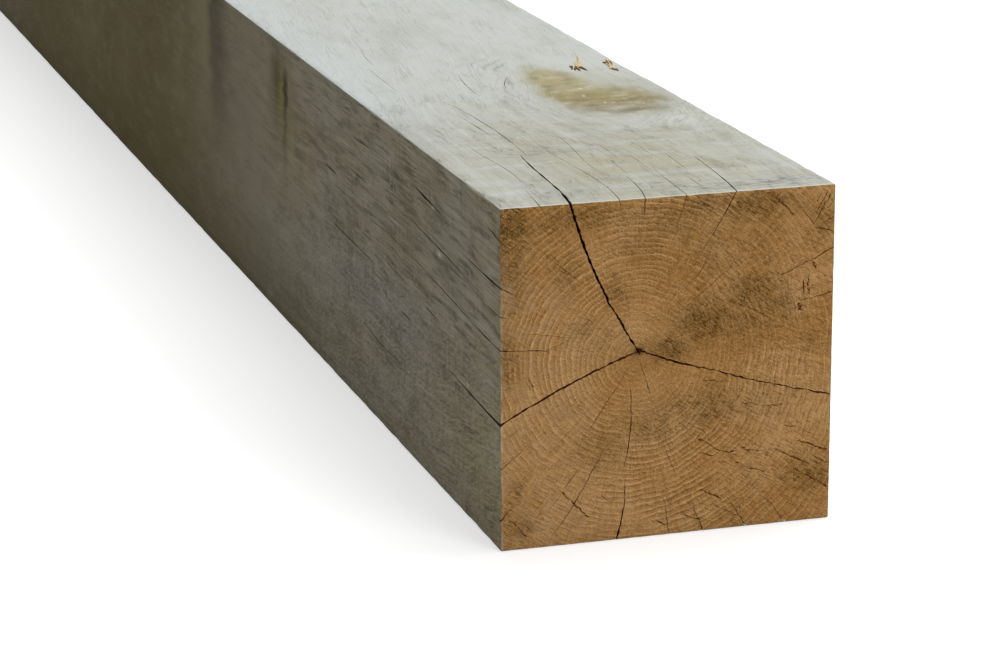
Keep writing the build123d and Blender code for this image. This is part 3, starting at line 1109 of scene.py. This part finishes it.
def left_marks(side, grain):
    batten_edge = side.y + 40 * (grain.mottle - 0.5)
    upper = side.z.rise(60, 170)
    batten_mark = batten_edge.rise(670, 735) * batten_edge.rise(775, 740)
    beside_batten = batten_edge.rise(742, 765) * batten_edge.rise(850, 780)
    side.lay(0.6 * upper * batten_mark, SIDE_BLACK)
    side.lay(0.3 * upper * beside_batten, SIDE_YELLOW)
    tears = side.most([
        side.spot(y=(226, 12), z=(162, 5)),
        side.spot(y=(61, 9), z=(149, 4)),
    ])
    clumps = side.noise((3, 6, 3), 3).rise(0.44, 0.58)
    side.lay(0.7 * tears * clumps, SIDE_BLACK)
    chips = side.most([
        side.spot(y=(122, 4), z=(144.5, 1.6)),
        0.7 * side.spot(y=(135, 2.5), z=(170, 1.2)),
        0.7 * side.spot(y=(64, 2.5), z=(81, 1.2)),
    ])
    side.lay(0.8 * chips, SIDE_CHIP)
    slant = side.y + 0.1 * (side.z - SIDE_KNOT[2]) + 26 * (grain.mottle - 0.5)
    yellow = side.spot((slant, 523, 6), z=(161, 17))
    bark = side.spot((slant, 510, 7), z=(166, 18))
    bark_tail = side.spot((slant, 508, 7), z=(138, 22))
    brown = side.spot((slant, 495, 12), z=(160, 22))
    pale_strip = side.spot((slant, 488, 7), z=(130, 16))
    side.lay(0.6 * yellow, KNOT_YELLOW)
    side.lay(0.5 * brown, SIDE_TORN)
    side.lay(0.5 * pale_strip, SIDE_YELLOW)
    side.lay(0.6 * bark_tail, SIDE_GREEN)
    side.lay(0.9 * bark.rise(0.1, 0.9), KNOT_BARK)


weathered_side("left_face", left_tints, left_marks)
weathered_side("right_face")
weathered_side("underside")

# The stage
# A plain pale floor under soft studio light: one wide lamp above, one in front of the sawn end, one behind
# the far end and a weak one to the left. The floor and the space behind look white, and the floor keeps the
# beam's shadow.

FLOOR_SIZE = 40.0  # in metres
floor_mesh = bpy.data.meshes.new("floor")
floor_signs = ((-1, -1), (1, -1), (1, 1), (-1, 1))
floor_corners = [(x * FLOOR_SIZE / 2, y * FLOOR_SIZE / 2, 0) for x, y in floor_signs]
floor_mesh.from_pydata(floor_corners, [], [(0, 1, 2, 3)])
floor = put_in_scene("floor", floor_mesh)

FLOOR_GREY = 0.6
FLOOR_GLOW = 0.55  # only for what sees the floor straight or in a reflection, so that it looks white
floor_material = bpy.data.materials.new("pale_floor")
floor_material.use_nodes = True
floor_mesh.materials.append(floor_material)
floor_shading = Shading(floor_material.node_tree)


def seen_straight(shading):
    """1 for what the camera sees, straight or in gloss or glass, and 0 for light that falls on the beam."""
    ways = ("Is Camera Ray", "Is Glossy Ray", "Is Transmission Ray")
    return shading.most([shading.node("ShaderNodeLightPath", result=way) for way in ways])


floor_surface = floor_shading.node("ShaderNodeBsdfDiffuse", sockets={"Color": (FLOOR_GREY,) * 3 + (1,)})
glow_strength = FLOOR_GLOW * seen_straight(floor_shading)
floor_glow = floor_shading.node("ShaderNodeEmission", sockets={"Strength": glow_strength})
floor_both = floor_shading.node(
    "ShaderNodeAddShader", sockets={"Shader": floor_surface, "Shader_001": floor_glow})
floor_shading.node("ShaderNodeOutputMaterial", sockets={"Surface": floor_both})

ROOM_LIGHT = 0.3
world = bpy.data.worlds.new("white_room")
world.use_nodes = True
bpy.context.scene.world = world
room = Shading(world.node_tree)
room_strength = ROOM_LIGHT + (1 - ROOM_LIGHT) * seen_straight(room)
room_colour = room.node("ShaderNodeBackground", sockets={"Color": (1, 1, 1, 1), "Strength": room_strength})
room.node("ShaderNodeOutputWorld", sockets={"Surface": room_colour})


def lamp(name, place, aim, size, watts):
    """A wide soft lamp at a place, pointing at another, in metres."""
    light = bpy.data.lights.new(name, "AREA")
    light.shape = "SQUARE"
    light.size = size
    light.energy = watts
    holder = put_in_scene(name, light)
    holder.location = place
    holder.rotation_euler = (Vector(aim) - Vector(place)).to_track_quat("-Z", "Y").to_euler()


lamp("lamp_above", (0.9, -0.5, 3.0), aim=(0.0, -0.3, 0.2), size=2.5, watts=79)
lamp("lamp_in_front", (1.2, -3.8, 1.5), aim=(0.0, -1.25, 0.1), size=1.5, watts=45)
lamp("lamp_left", (-1.9, -2.6, 1.0), aim=(-0.1, -1.0, 0.1), size=1.2, watts=6)
lamp("lamp_behind", (0.8, 4.2, 1.5), aim=(0.0, 1.25, 0.1), size=1.5, watts=26)

CAMERA_PLACE = np.array([-624.9, -1724.7, 632.0])  # in millimetres, like places in the beam
CAMERA_AZIMUTH = math.radians(-16.931)
CAMERA_ELEVATION = math.radians(15.598)
CAMERA_ROLL = math.radians(-0.246)
CAMERA_LENS = 121.24
SENSOR_WIDTH = 36.0
camera_data = bpy.data.cameras.new("camera")
camera_data.lens = CAMERA_LENS
camera_data.sensor_width = SENSOR_WIDTH
camera = put_in_scene("camera", camera_data)
camera.location = (CAMERA_PLACE + BEAM_START) * MM
level_view = Euler((math.pi / 2 - CAMERA_ELEVATION, 0, CAMERA_AZIMUTH)).to_matrix()
camera.rotation_euler = (level_view @ Matrix.Rotation(CAMERA_ROLL, 3, "Z")).to_euler()
bpy.context.scene.camera = camera
bpy.context.scene.view_settings.view_transform = "Standard"
